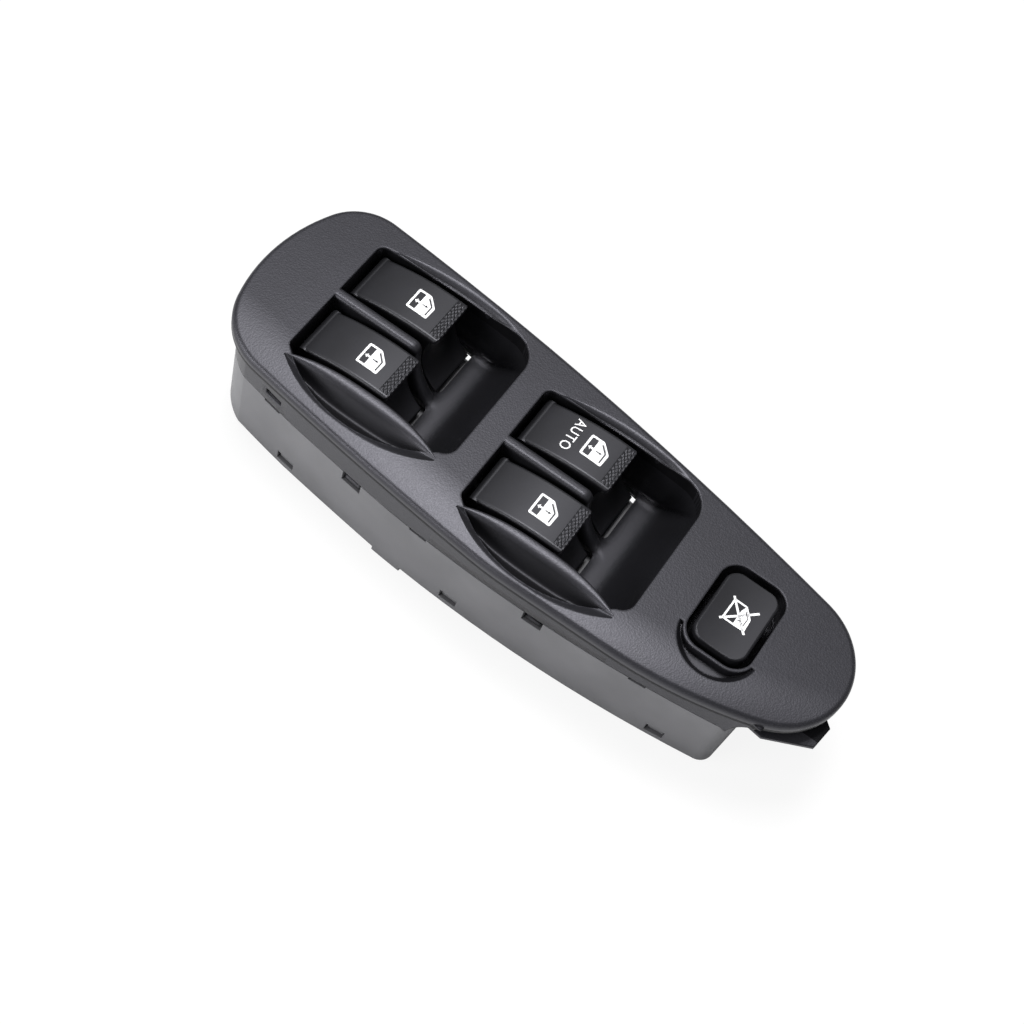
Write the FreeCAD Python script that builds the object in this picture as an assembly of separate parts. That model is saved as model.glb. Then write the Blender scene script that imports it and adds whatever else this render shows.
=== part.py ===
import FreeCAD, Part
import math
import os

# Power window switch panel for a driver's door.
# Millimetres. X runs along the rockers, Y along their hinges, Z up.
# The origin is the middle of the bezel, on the plane where its rim rests on the door trim.

V = FreeCAD.Vector

# Bezel plan
bezel_length = 223.2
bezel_width = 73.6
bezel_top = 3.8
panel_turn = -7.77
far_radius = 1100.0
far_crest = -18.0
near_radius = 1250.0
near_crest = -52.0
left_radius = 62.0
left_centre_y = 3.0
near_turn_back = 63.0
near_turn_y = -29.15
near_slope = 0.155
near_end_radius = 151.6
corner_left_far = 18.0
corner_left_near = 24.0
corner_right_far = 25.5
corner_right_near = 24.3
near_blend = 110.0
rim_round = 1.6
end_step = 1.1
end_step_z = 1.4
rim_lip = 2.4
panel_skin = 2.4

# Housing plan and heights
parting_z = -13.0
bottom_z = -39.2
foot_drop = 1.8
wall = 2.0
wall_inset = 2.3
near_wall_radius = 480.0
near_wall_crest_x = 10.0
near_wall_y = -32.0
end_overhang = 22.6
housing_corner = 5.0
tongue_y = 1.0
tongue_root_half = 13.0
tongue_tip_half = 4.1
tongue_low = -7.4
tongue_thick = 1.2
flare_y = 0.0
flare_half = 15.0
flare_reach = 7.0
deck_top = -23.4
deck_thick = 1.6
seam_gap = 0.25
latch_gap = 0.35
window_low = -17.7
side_window_low = -30.0
side_window_high = -21.5
slit_high = 0.9
joint_lap = 3.0

# Finger wells
well_pitch_x = 69.36
well_pitch_y = -9.46
back_margin = 25.6
well_length = 60.0
well_back = back_margin - bezel_length / 2
well_front = well_back + well_length
well_near = -12.4
well_near_front = -13.8
well_far = 36.4
well_far_mid = 38.3
well_floor = -18.7
well_wall = 1.8
floor_front = well_back + 46.6
slot_back = well_back + 1.6
slot_front = well_back + 39.9
slot_half = 10.35
slot_round = 2.0
rib_half_top = 1.9
rib_half_floor = 2.6
rib_lean = -0.6
rib_nose = well_back + 31.4
rib_toe = well_back + 39.4
nose_round = 3.0
rib_edge = 1.4
lip_z = 1.4
lip_wide = 2.2
scoop_deep = 3.0
scoop_skin = 1.6

# Rockers
rocker_near_y = 0.7
rocker_pitch = 26.4
rocker_half = 9.1
back_clear = 1.0
rocker_back = well_back + back_clear
back_round = 2.0
rocker_front = well_back + 33.6
rocker_skin = 1.8
rocker_top_back = 0.0
rocker_top_mid = 3.4
rocker_top_front = 3.3
mid_x = well_back + 20.0
rocker_lip = 2.0
lip_overhang = 2.2
apron_waist_z = -11.0
rocker_edge = 1.1
apron_toe_x = slot_front - 1.5
apron_toe_z = -20.2
rocker_heel_z = -17.5
pivot_x = well_back + 18.0
pivot_z = -6.2
pivot_r = 2.0
fit = 0.05

# Towers and switch works
tower_half_x = 7.4
tower_gap = 0.4
tower_wall = 1.4
tower_rise = 3.2
barrel_r = 3.6
barrel_foot = -17.0
plunger_r = 2.2
plunger_head = -12.0
plunger_tip = -26.9
plate_half = 8.0
plate_top = -27.2
plate_thick = 0.6
plate_width = 5.0
rivet_x = 6.4
rivet_drop = 0.45
contact_gap = 0.75
board_top = -30.6
board_thick = 1.6
board_inset = 3.6
screw_r = 0.8
connector_margin = 101.6
connector_x = bezel_length / 2 - connector_margin
connector_y = 4.0
connector_half_x = 17.0
connector_half_y = 7.5
pin_half = 0.32

# Lock-out button
lock_margin = 42.4
lock_x = bezel_length / 2 - lock_margin
lock_y = -3.0
lock_len = 18.0
lock_wide = 26.6
lock_round = 4.5
lock_top = 5.8
lock_dome = 0.7
lock_hole_far = 13.7
lock_hole_near = -18.1
lock_hole_half = 11.0
lock_tub_floor = -9.0
lock_lip = 1.0


def box(x0, x1, y0, y1, z0, z1):
    return Part.makeBox(x1 - x0, y1 - y0, z1 - z0, V(x0, y0, z0))


def rod(r, x, y, z0, z1):
    return Part.makeCylinder(r, z1 - z0, V(x, y, z0))


def cross_rod(r, x, z, y0, y1):
    return Part.makeCylinder(r, y1 - y0, V(x, y0, z), V(0, 1, 0))


def to_part(shape):
    turned = shape.copy()
    turned.rotate(V(0, 0, 0), V(0, 0, 1), panel_turn)
    return turned


def moved(shape, x, y, z=0.0):
    there = shape.copy()
    there.translate(V(x, y, z))
    return there


def joined(shapes):
    first = shapes[0]
    if len(shapes) > 1:
        first = first.fuse(shapes[1:])
    return first.removeSplitter()


def upright_edges(solid, sx, sy):
    picked = []
    for edge in solid.Edges:
        a = edge.Vertexes[0].Point
        b = edge.Vertexes[-1].Point
        if math.hypot(a.x - b.x, a.y - b.y) < 1e-6 and a.x * sx >= 0 and a.y * sy > 0:
            picked.append(edge)
    return picked


def end_edge(solid, sx, sy):
    return [max(upright_edges(solid, sx, sy), key=lambda edge: abs(edge.Vertexes[0].X))]


def rounded_box(x0, x1, y0, y1, z0, z1, r):
    solid = box(x0, x1, y0, y1, z0, z1)
    upright = [e for e in solid.Edges if abs(e.Vertexes[0].Z - e.Vertexes[-1].Z) > 1e-6]
    return solid.makeFillet(r, upright)


def side_cut(points, y0, y1):
    # A closed side profile in XZ, pushed along Y.
    face = Part.Face(Part.makePolygon([V(x, y0, z) for x, z in points + points[:1]]))
    return face.extrude(V(0, y1 - y0, 0))


# Bezel plan, drawn along the panel's own long axis and pulled in by an inset
def plan_prism(inset, z0, z1, pull=0.0):
    tall = z1 - z0
    half_l = bezel_length / 2
    half_w = bezel_width / 2
    solid = Part.makeCylinder(far_radius - inset, tall, V(far_crest, half_w - far_radius, z0))
    near = Part.makeCylinder(near_radius - inset, tall, V(near_crest, near_radius - half_w, z0))
    left = Part.makeCylinder(left_radius - inset, tall, V(left_radius - half_l, left_centre_y, z0))
    solid = solid.common(near).common(box(-half_l, half_l - inset - pull, -half_w, half_w, z0, z1))
    left_side = left.fuse(box(left_radius - half_l, half_l, -half_w, half_w, z0, z1))
    solid = solid.common(left_side)
    solid = solid.common(near_taper(inset, z0, tall)).removeSplitter()
    solid = solid.makeFillet(corner_left_far - inset, end_edge(solid, -1, 1))
    solid = solid.makeFillet(corner_left_near - inset, end_edge(solid, -1, -1))
    solid = solid.makeFillet(corner_right_far - inset, end_edge(solid, 1, 1))
    solid = solid.makeFillet(corner_right_near - inset, end_edge(solid, 1, -1))
    turn = half_l - near_turn_back - 2.0
    bend = [e for e in upright_edges(solid, 0, -1) if abs(e.Vertexes[0].X) < turn]
    return solid.makeFillet(near_blend, bend)


# The near side's run towards the narrow end: a straight stretch, then an arc tangent to it
def near_taper(inset, z0, tall):
    half_l = bezel_length / 2
    lean = math.atan(near_slope)
    turn_x = half_l - near_turn_back
    centre_x = turn_x - near_end_radius * math.sin(lean)
    centre_y = near_turn_y + near_end_radius * math.cos(lean)
    r = near_end_radius - inset
    start = V(centre_x + r * math.sin(lean), centre_y - r * math.cos(lean), z0)
    sweep = [lean + step * 0.3 for step in (1, 2)]
    middle, end = [V(centre_x + r * math.sin(t), centre_y - r * math.cos(t), z0) for t in sweep]
    far = V(-half_l, start.y - (start.x + half_l) * near_slope, z0)
    edges = [
        Part.makeLine(far, start),
        Part.Arc(start, middle, end).toShape(),
        Part.makeLine(end, V(end.x, bezel_width, z0)),
        Part.makeLine(V(end.x, bezel_width, z0), V(-half_l, bezel_width, z0)),
        Part.makeLine(V(-half_l, bezel_width, z0), far),
    ]
    return Part.Face(Part.Wire(edges)).extrude(V(0, 0, tall))


def housing_end():
    return bezel_length / 2 - end_overhang


# Housing plan: follows the bezel at the back and left, a shallow arc at the near side
def wall_prism(inset, z0, z1):
    body = to_part(plan_prism(wall_inset + inset, z0, z1))
    r = near_wall_radius - inset
    arc = Part.makeCylinder(r, z1 - z0, V(near_wall_crest_x, near_wall_y + near_wall_radius, z0))
    end = to_part(box(-bezel_length, housing_end() - inset, -bezel_width, bezel_width, z0, z1))
    body = body.common(arc).common(end).removeSplitter()
    return body.makeFillet(housing_corner - inset, end_edge(body, 1, 1) + end_edge(body, 1, -1))


def wall_shell(inset, thick, z0, z1):
    return wall_prism(inset, z0, z1).cut(wall_prism(inset + thick, z0 - 1, z1 + 1))


# Plan of a finger well, grown outwards by its wall
def well_plan(grow, z0, z1):
    a = V(well_back - grow, well_near - grow, z0)
    b = V(well_front + grow, well_near_front - grow, z0)
    c = V(well_front + grow, well_far + grow, z0)
    d = V(well_back - grow, well_far + grow, z0)
    mid = V((well_back + well_front) / 2, well_far_mid + grow, z0)
    edges = [
        Part.makeLine(a, b),
        Part.makeLine(b, c),
        Part.Arc(c, mid, d).toShape(),
        Part.makeLine(d, a),
    ]
    solid = Part.Face(Part.Wire(edges)).extrude(V(0, 0, z1 - z0))
    radii = ((b, 5.0), (c, 10.0), (d, 3.0), (a, 2.0))
    for corner, r in radii:
        near = [e for e in solid.Edges
                if (e.Vertexes[0].Point - e.Vertexes[-1].Point).cross(V(0, 0, 1)).Length < 1e-6
                and math.hypot(e.Vertexes[0].X - corner.x, e.Vertexes[0].Y - corner.y) < 1e-4]
        solid = solid.makeFillet(r + grow * 0.5, near)
    return solid


# A well's side profile: straight back, flat floor, dished front
def well_body(grow, top):
    floor = well_floor - grow
    back = well_back - grow
    front = well_front + grow
    turn = floor_front + grow * 0.3
    mid = V(front - (front - turn) * 0.32, 0, floor + (bezel_top - floor) * 0.36)
    y0 = well_near_front - 8
    y1 = well_far_mid + 8
    edges = [
        Part.makeLine(V(back, 0, top), V(back, 0, floor)),
        Part.makeLine(V(back, 0, floor), V(turn, 0, floor)),
        Part.Arc(V(turn, 0, floor), mid, V(front, 0, bezel_top)).toShape(),
        Part.makeLine(V(front, 0, bezel_top), V(front, 0, top + 1)),
        Part.makeLine(V(front, 0, top + 1), V(back, 0, top + 1)),
        Part.makeLine(V(back, 0, top + 1), V(back, 0, top)),
    ]
    solid = Part.Face(Part.Wire(edges)).extrude(V(0, y1 - y0, 0))
    solid.translate(V(0, y0, 0))
    return solid.common(well_plan(grow, floor, top))


def rocker_rows():
    return (rocker_near_y, rocker_near_y + rocker_pitch)


# Rib between two rockers: drafted sides, a round crest and a nose that runs out into the floor
def well_rib():
    mid = rocker_near_y + rocker_pitch / 2 + rib_lean
    back = well_back - 1
    foot = well_floor - 0.5
    sections = []
    for half, z in ((rib_half_floor, foot), (rib_half_top, bezel_top)):
        low = V(back, mid - half, z)
        sections.append(Part.makePolygon([low, V(slot_front, mid - half, z), V(slot_front, mid + half, z),
                                          V(back, mid + half, z), low]))
    rib = Part.makeLoft(sections, True, True)
    brow = V(rib_nose - nose_round, 0, bezel_top)
    nose = V(rib_nose, 0, bezel_top - nose_round)
    bend = V(rib_nose - nose_round * 0.29, 0, bezel_top - nose_round * 0.29)
    toe = V(rib_toe, 0, well_floor)
    hollow = V(rib_nose + (rib_toe - rib_nose) * 0.23, 0, (nose.z + well_floor) / 2)
    edges = [
        Part.makeLine(V(back, 0, bezel_top), brow),
        Part.Arc(brow, bend, nose).toShape(),
        Part.Arc(nose, hollow, toe).toShape(),
        Part.makeLine(toe, V(rib_toe, 0, foot)),
        Part.makeLine(V(rib_toe, 0, foot), V(back, 0, foot)),
        Part.makeLine(V(back, 0, foot), V(back, 0, bezel_top)),
    ]
    side = Part.Face(Part.Wire(edges)).extrude(V(0, 2 * rib_half_floor + 2, 0))
    side.translate(V(0, mid - rib_half_floor - 1, 0))
    rib = rib.common(side)
    crest = [e for e in rib.Edges
             if e.BoundBox.YLength < 0.7 and e.BoundBox.XLength > 1.0 and e.BoundBox.ZMax > bezel_top - nose_round - 0.1]
    return rib.makeFillet(rib_edge, crest)


# Crescent dish for the fingers beside a well; the chord is its straight side
def crescent(chord, bow, x0, x1, side):
    ends = (V(x0, chord, 0), V(x1, chord, 0))
    crown = V((x0 + x1) / 2, chord + side * bow, 0)
    return Part.Wire([Part.Arc(ends[0], crown, ends[1]).toShape(), Part.makeLine(ends[1], ends[0])])


def dish(levels, x0, x1, side):
    # Each level is (height, chord, bow, end inset).
    wires = []
    for z, chord, bow, pull in levels:
        wire = crescent(chord, bow, x0 + pull, x1 - pull, side)
        wire.translate(V(0, 0, z))
        wires.append(wire)
    return Part.makeLoft(wires, True, True)


# Levels run from the bezel's face to the bottom of the dish
def near_scoop(grow):
    chord = well_near + 0.6
    levels = (
        (bezel_top + 0.6, chord, 12.4 + grow, -0.6 - grow),
        (bezel_top - 0.5 - grow, chord, 11.7 + grow, 0.2 - grow),
        (lip_z - grow, chord, 10.8 + grow, 1.4 - grow),
    )
    shallow = dish(levels, well_back + 0.5, well_front - 2.0, -1)
    groove = well_near - lip_wide
    low = (
        (lip_z + 0.1 - grow, groove, 8.5 + grow, 0.6 - grow),
        (lip_z - scoop_deep * 0.5 - grow, groove - 0.7, 7.0 + grow, 3.0 - grow),
        (lip_z - scoop_deep - grow, groove - 2.2, 4.2 + grow, 9.0 - grow),
    )
    deep = dish(low, well_back + 2.6, well_front - 4.6, -1)
    return shallow.fuse(deep)


def far_bevel(grow):
    chord = well_far - 0.4
    levels = (
        (bezel_top + 0.6, chord, 6.6 + grow, -1.0 - grow),
        (bezel_top - 1.6 - grow, chord, 2.6 + grow, 3.0 - grow),
    )
    return dish(levels, well_back + 1.0, well_front - 1.0, 1)


def slot_cuts():
    cuts = []
    for y in rocker_rows():
        cuts.append(rounded_box(slot_back, slot_front, y - slot_half, y + slot_half,
                                well_floor - well_wall - 1, well_floor + 1, slot_round))
    return cuts


def well_shifts():
    return ((0.0, 0.0), (well_pitch_x, well_pitch_y))


def lock_tub(grow, z0, z1):
    return rounded_box(lock_x - lock_hole_half - grow, lock_x + lock_hole_half + grow,
                       lock_hole_near - grow, lock_hole_far + grow, z0, z1, 6.5 + grow)


# The thin lip round the opening stands between it and the scoop
def lock_scoop(grow):
    chord = lock_hole_near + 4.5
    levels = (
        (bezel_top + 0.6, chord, 11.8 + grow, -2.4 - grow),
        (bezel_top - 0.8 - grow, chord, 10.9 + grow, -1.6 - grow),
        (bezel_top - 3.6 - grow, chord, 8.6 + grow, 0.6 - grow),
    )
    scoop = dish(levels, lock_x - lock_hole_half, lock_x + lock_hole_half, -1)
    if grow > 0:
        return scoop
    return scoop.cut(lock_tub(lock_lip, lock_tub_floor, bezel_top + 2))


# Latch windows in the housing wall and the hooks that fill them: panel position and width
def latch_places():
    return ((-43.8, 7.3), (24.8, 6.7))


# Windows in the far wall beside the two far rockers
def side_windows():
    return ((-53.0, 15.0), (16.0, 15.0))


# Moulding slits along the near parting line
def seam_slits():
    return ((-17.5, 6.3), (59.8, 5.6), (-77.8, 6.5))


def wall_slots():
    return ((-69.2, 6.8), (-1.7, 6.2), (71.6, 6.0))


def near_strip(centre, wide, depth_in, depth_out, z0, z1):
    # A block across the near wall at one place along the panel.
    half_w = bezel_width / 2
    block = box(centre - wide / 2, centre + wide / 2, -half_w - 2, 0, z0, z1)
    band = wall_prism(-depth_out, z0, z1).cut(wall_prism(depth_in, z0 - 1, z1 + 1))
    return to_part(block).common(band)


def far_strip(centre, wide, depth_in, depth_out, z0, z1):
    half_w = bezel_width / 2
    block = box(centre - wide / 2, centre + wide / 2, 0, half_w + 2, z0, z1)
    band = wall_prism(-depth_out, z0, z1).cut(wall_prism(depth_in, z0 - 1, z1 + 1))
    return to_part(block).common(band)


def bezel():
    plate = plan_prism(0.0, end_step_z - 0.1, bezel_top, end_step)
    outer_top = [e for e in plate.Edges
                 if abs(e.BoundBox.ZMin - bezel_top) < 1e-6 and abs(e.BoundBox.ZMax - bezel_top) < 1e-6]
    plate = plate.makeFillet(rim_round, outer_top)
    rim = plate.fuse(plan_prism(0.0, 0.0, end_step_z))
    under = bezel_top - panel_skin
    rim = rim.cut(plan_prism(rim_lip, -1.0, under))
    shell = to_part(rim)
    skirt = wall_shell(0.0, wall, parting_z, under + 0.4)
    solids = [shell, skirt]
    inside = to_part(plan_prism(rim_lip, -bezel_width, under + 0.4))
    for dx, dy in well_shifts():
        solids.append(moved(well_body(well_wall, under + 0.4), dx, dy))
        backing = near_scoop(scoop_skin).fuse(far_bevel(scoop_skin))
        solids.append(moved(backing, dx, dy).common(inside))
    solids.append(lock_scoop(scoop_skin).common(inside))
    solids.append(lock_tub(well_wall, lock_tub_floor - well_wall, under + 0.4))
    solids.append(end_flare())
    solids.append(end_tongue())
    solids.extend(latch_tongues())
    body = solids[0].fuse(solids[1:])
    cuts = []
    for dx, dy in well_shifts():
        cuts.append(moved(well_body(0.0, bezel_top + 1).cut(well_rib()), dx, dy))
        cuts.append(moved(near_scoop(0.0), dx, dy))
        cuts.append(moved(far_bevel(0.0), dx, dy))
        for cut in slot_cuts():
            cuts.append(moved(cut, dx, dy))
    cuts.append(lock_tub(0.0, lock_tub_floor, bezel_top + 1))
    cuts.append(lock_scoop(0.0))
    cuts.append(rounded_box(lock_x - 6.5, lock_x + 6.5, lock_y - 9.0, lock_y + 9.0,
                            lock_tub_floor - well_wall - 1, lock_tub_floor + 1, 2.0))
    cuts.append(near_strip(-77.8, 6.5, wall + 1, 1, -9.5, -7.2))
    body = body.cut(cuts)
    return body.removeSplitter()


# Snap tongues hanging from the skirt, each with a hook that catches a housing window
def latch_tongues():
    tongues = []
    inner = wall + latch_gap
    for centre, wide in latch_places():
        for strip in (near_strip, far_strip):
            slim = wide - 1.6
            tongues.append(strip(centre, slim, inner + 1.4, -inner, window_low - 0.8, parting_z + 4.0))
            tongues.append(strip(centre, slim, inner + 1.4, -wall * 0.5, parting_z + 0.6, parting_z + 4.0))
            tongues.append(strip(centre, slim, inner + 0.2, -0.7, window_low + 0.5, window_low + 2.4))
    return tongues


# Hollow bracket flaring up under the narrow end
def end_flare():
    end = housing_end()
    start = end - housing_corner
    reach = end + flare_reach
    top = bezel_top - panel_skin + 0.4
    low = parting_z
    middle = V(end + flare_reach * 0.25, 0, low * 0.35)
    edges = [
        Part.makeLine(V(start, 0, low), V(end - 1, 0, low)),
        Part.Arc(V(end - 1, 0, low), middle, V(reach, 0, top)).toShape(),
        Part.makeLine(V(reach, 0, top), V(start, 0, top)),
        Part.makeLine(V(start, 0, top), V(start, 0, low)),
    ]
    solid = Part.Face(Part.Wire(edges)).extrude(V(0, 2 * flare_half, 0))
    solid.translate(V(0, flare_y - flare_half, 0))
    inner = flare_half - wall
    hollow = box(start - 1, reach + 1, flare_y - inner, flare_y + inner, low - 1, top + 1)
    gusset = side_cut([(end - 1, top), (end - 1, -3.0), (end + 5.0, -6.8), (end + 7.0, top)],
                      flare_y - flare_half + wall * 1.5, flare_y - flare_half + wall * 2.5)
    ribs = solid.cut(hollow).fuse(gusset)
    return to_part(ribs).cut(wall_prism(wall * 0.5, low - 1, top + 1))


# Tapered tongue that slips under the trim at the narrow end
def end_tongue():
    root = housing_end() - wall * 0.5
    neck = root + 9.0
    tip = bezel_length / 2 - 1.4
    outline = [(root, -tongue_root_half), (neck, -tongue_root_half), (tip, -tongue_tip_half),
               (tip, tongue_tip_half), (neck, tongue_root_half), (root, tongue_root_half)]
    points = [V(x, tongue_y + y, tongue_low) for x, y in outline]
    blade = Part.Face(Part.makePolygon(points + points[:1])).extrude(V(0, 0, tongue_thick))
    return to_part(blade)


def switch_housing():
    top = parting_z - seam_gap
    shell = wall_shell(0.0, wall, bottom_z, top)
    lap = wall_shell(wall + 0.3, 1.2, deck_top - deck_thick, top + joint_lap)
    deck = wall_prism(wall * 0.5, deck_top - deck_thick, deck_top)
    rooms = [moved(well_body(well_wall + latch_gap, top + joint_lap + 1), dx, dy) for dx, dy in well_shifts()]
    solids = [deck, shell.cut(rooms), lap.cut(rooms)]
    cuts = []
    for dx, dy in well_shifts():
        for y in rocker_rows():
            solids.append(moved(tower(), pivot_x + dx, y + dy, 0))
            cuts.append(moved(tower_bore(), pivot_x + dx, y + dy, 0))
    guide = lock_guide()
    solids.append(guide[0])
    cuts.append(guide[1])
    foot = near_strip(-25.5, 11.0, wall, 0.0, bottom_z - foot_drop, bottom_z + 0.5)
    solids.append(foot)
    for centre, wide in latch_places():
        cuts.append(near_strip(centre, wide, wall + 2.4, 1.0, window_low, top + joint_lap + 1))
        cuts.append(far_strip(centre, wide, wall + 2.4, 1.0, window_low, top + joint_lap + 1))
        cuts.append(near_strip(centre, wide, wall + 2.4, -wall, window_low - 1.2, window_low + 1))
        cuts.append(far_strip(centre, wide, wall + 2.4, -wall, window_low - 1.2, window_low + 1))
    for centre, wide in side_windows():
        cuts.append(far_strip(centre, wide, wall + 2.4, 1.0, side_window_low, side_window_high))
    for centre, wide in seam_slits():
        cuts.append(near_strip(centre, wide, wall + 0.2, 1.0, top - slit_high, top + 0.1))
    for centre, wide in wall_slots():
        cuts.append(near_strip(centre, wide, wall + 1.0, 1.0, -37.2, -33.4))
        cuts.append(far_strip(centre, wide, wall + 1.0, 1.0, -37.2, -33.4))
    for x, y in screw_places():
        solids.append(rod(2.6, x, y, board_top, deck_top - deck_thick + 0.5))
        cuts.append(rod(screw_r + 0.02, x, y, board_top - 1, board_top + 6.5))
    body = solids[0].fuse(solids[1:])
    return body.cut(cuts).removeSplitter()


def tower():
    half_y = rocker_half - rocker_skin - tower_gap
    post = box(-tower_half_x, tower_half_x, -half_y, half_y, deck_top - 0.5, pivot_z + tower_rise)
    upper = [e for e in post.Edges
             if abs(e.Vertexes[0].Y - e.Vertexes[-1].Y) > 1e-6
             and e.Vertexes[0].Z > pivot_z]
    post = post.makeFillet(tower_rise - 0.2, upper)
    boss = half_y + tower_gap + rocker_skin - 0.8
    return post.fuse(cross_rod(pivot_r, 0, pivot_z, -boss, boss))


def tower_bore():
    half_y = rocker_half - rocker_skin - tower_gap - tower_wall
    half_x = tower_half_x - tower_wall
    low = deck_top - deck_thick - 1
    return box(-half_x, half_x, -half_y, half_y, low, pivot_z + tower_rise + 1)


# Where an arc about the pivot stands at a height, on the back side
def swing_x(r, z):
    return pivot_x - math.sqrt(r ** 2 - (z - pivot_z) ** 2)


# Side profile of a rocker: back struck from the pivot, crowned top, finger lip, concave apron
def rocker_profile():
    swing = pivot_x - rocker_back
    low = rocker_top_back - back_round
    heel = V(swing_x(swing, rocker_heel_z), 0, rocker_heel_z)
    nape = V(swing_x(swing, low), 0, low)
    bend = V(nape.x + back_round * 0.29, 0, low + back_round * 0.71)
    crown = V(nape.x + back_round, 0, rocker_top_back)
    edge = V(rocker_front, 0, rocker_top_front)
    lip = V(rocker_front, 0, rocker_top_front - rocker_lip)
    under = V(rocker_front - lip_overhang, 0, lip.z - 1.0)
    toe = V(apron_toe_x, 0, apron_toe_z)
    sole = V(pivot_x, 0, rocker_heel_z)
    edges = [
        Part.Arc(heel, V(rocker_back, 0, pivot_z), nape).toShape(),
        Part.Arc(nape, bend, crown).toShape(),
        Part.Arc(crown, V(mid_x, 0, rocker_top_mid), edge).toShape(),
        Part.makeLine(edge, lip),
        Part.makeLine(lip, under),
        Part.Arc(under, V(under.x - 0.1, 0, apron_waist_z), toe).toShape(),
        Part.makeLine(toe, sole),
        Part.makeLine(sole, heel),
    ]
    return Part.Wire(edges)


# The hollow inside, one wall thickness in
def hollow_profile():
    swing = pivot_x - rocker_back - rocker_skin
    foot = apron_toe_z - 1.0
    roof_z = rocker_top_back - rocker_skin
    heel = V(swing_x(swing, rocker_heel_z), 0, rocker_heel_z)
    roof = V(swing_x(swing, roof_z), 0, roof_z)
    middle = V(mid_x, 0, rocker_top_mid - rocker_skin)
    front = V(rocker_front - lip_overhang - rocker_skin, 0, rocker_top_front - 0.5 - rocker_skin)
    toe = V(apron_toe_x - rocker_skin - 0.2, 0, foot)
    edges = [
        Part.makeLine(V(heel.x, 0, foot), heel),
        Part.Arc(heel, V(pivot_x - swing, 0, pivot_z), roof).toShape(),
        Part.makeLine(roof, middle),
        Part.makeLine(middle, front),
        Part.Arc(front, V(front.x, 0, apron_waist_z), toe).toShape(),
        Part.makeLine(toe, V(heel.x, 0, foot)),
    ]
    return Part.Wire(edges)


def rocker():
    solid = Part.Face(rocker_profile()).extrude(V(0, 2 * rocker_half, 0))
    solid.translate(V(0, -rocker_half, 0))
    crown = [e for e in solid.Edges
             if e.BoundBox.YLength < 1e-6 and e.BoundBox.ZMin > rocker_top_back - 0.1]
    solid = solid.makeFillet(rocker_edge, crown)
    plan = rounded_box(rocker_back - 0.2, apron_toe_x + 2 * back_round, -rocker_half, rocker_half,
                       apron_toe_z - 1, rocker_top_front + 1, back_round)
    solid = solid.common(plan)
    inner = rocker_half - rocker_skin
    hollow = Part.Face(hollow_profile()).extrude(V(0, 2 * inner, 0))
    hollow.translate(V(0, -inner, 0))
    solid = solid.cut(hollow)
    bore = rocker_half - 0.6
    solid = solid.cut(cross_rod(pivot_r + fit, pivot_x, pivot_z, -bore, bore))
    roof = rocker_top_mid - rocker_skin
    barrel = rod(barrel_r, pivot_x, 0, barrel_foot, roof + 0.6)
    solid = solid.fuse(barrel)
    solid = solid.cut(rod(plunger_r + fit, pivot_x, 0, barrel_foot - 1, roof - 0.8))
    return solid.removeSplitter()


def plunger():
    shank = rod(plunger_r, 0, 0, plunger_tip + 4.0, plunger_head)
    neck = Part.makeCone(1.1, plunger_r, 1.2, V(0, 0, plunger_tip + 2.8))
    stem = rod(1.1, 0, 0, plunger_tip + 1.1, plunger_tip + 2.8)
    tip = Part.makeSphere(1.1, V(0, 0, plunger_tip + 1.1))
    seat = rod(1.1, 0, 0, plunger_head - 0.1, plunger_head + 1.5)
    return joined([shank, neck, stem, tip, seat])


# The room a coil spring's turns take up, as a sleeve one wire thick
def coil_sleeve(r, wire_r, z0, z1):
    return rod(r + wire_r, 0, 0, z0, z1).cut(rod(r - wire_r, 0, 0, z0 - 1, z1 + 1))


def plunger_spring():
    return coil_sleeve(1.65, 0.22, plunger_head + 0.05, rocker_top_mid - rocker_skin - 0.85)


def tilt_contact():
    plate = box(-plate_half, plate_half, -plate_width / 2, plate_width / 2, plate_top - plate_thick, plate_top)
    cradle = cross_rod(1.6, 0, plate_top - plate_thick + 0.4, -plate_width / 2, plate_width / 2)
    cradle = cradle.cut(box(-3, 3, -4, 4, plate_top, plate_top + 3))
    body = plate.fuse(cradle)
    body = body.cut(cross_rod(0.85, 0, plate_top - plate_thick - 0.6, -4, 4))
    for side in (-1, 1):
        body = body.fuse(rod(1.3, side * rivet_x, 0, plate_top - plate_thick - rivet_drop, plate_top))
    return body.removeSplitter()


def switch_posts():
    # Knife fulcrum and two fixed contacts for one rocker, standing on the board.
    knife_z = plate_top - plate_thick - 0.6
    pad_top = plate_top - plate_thick - rivet_drop - contact_gap
    pieces = [box(-0.35, 0.35, -4.6, 4.6, board_top, knife_z)]
    for side in (-1, 1):
        pieces.append(rod(1.4, side * rivet_x, 0, board_top, pad_top))
    return pieces


def screw_places():
    return ((-92.0, 14.0), (-33.0, -18.0), (-28.0, 26.0), (46.0, -4.0))


def switch_terminals():
    pieces = []
    for dx, dy in well_shifts():
        for y in rocker_rows():
            for piece in switch_posts():
                pieces.append(moved(piece, pivot_x + dx, y + dy))
    return Part.makeCompound(pieces)


def circuit_board():
    board = wall_prism(board_inset, board_top - board_thick, board_top)
    for x, y in screw_places():
        board = board.cut(rod(1.3, x, y, board_top - board_thick - 1, board_top + 1))
    return board


def board_screws():
    screws = []
    low = board_top - board_thick
    for x, y in screw_places():
        head = rod(2.3, x, y, low - 1.3, low)
        shank = rod(screw_r, x, y, low - 0.1, board_top + 5.5)
        slot = box(x - 1.6, x + 1.6, y - 0.3, y + 0.3, low - 1.4, low - 0.8)
        cross = box(x - 0.3, x + 0.3, y - 1.6, y + 1.6, low - 1.4, low - 0.8)
        screws.append(head.fuse(shank).cut([slot, cross]).removeSplitter())
    return Part.makeCompound(screws)


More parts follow.
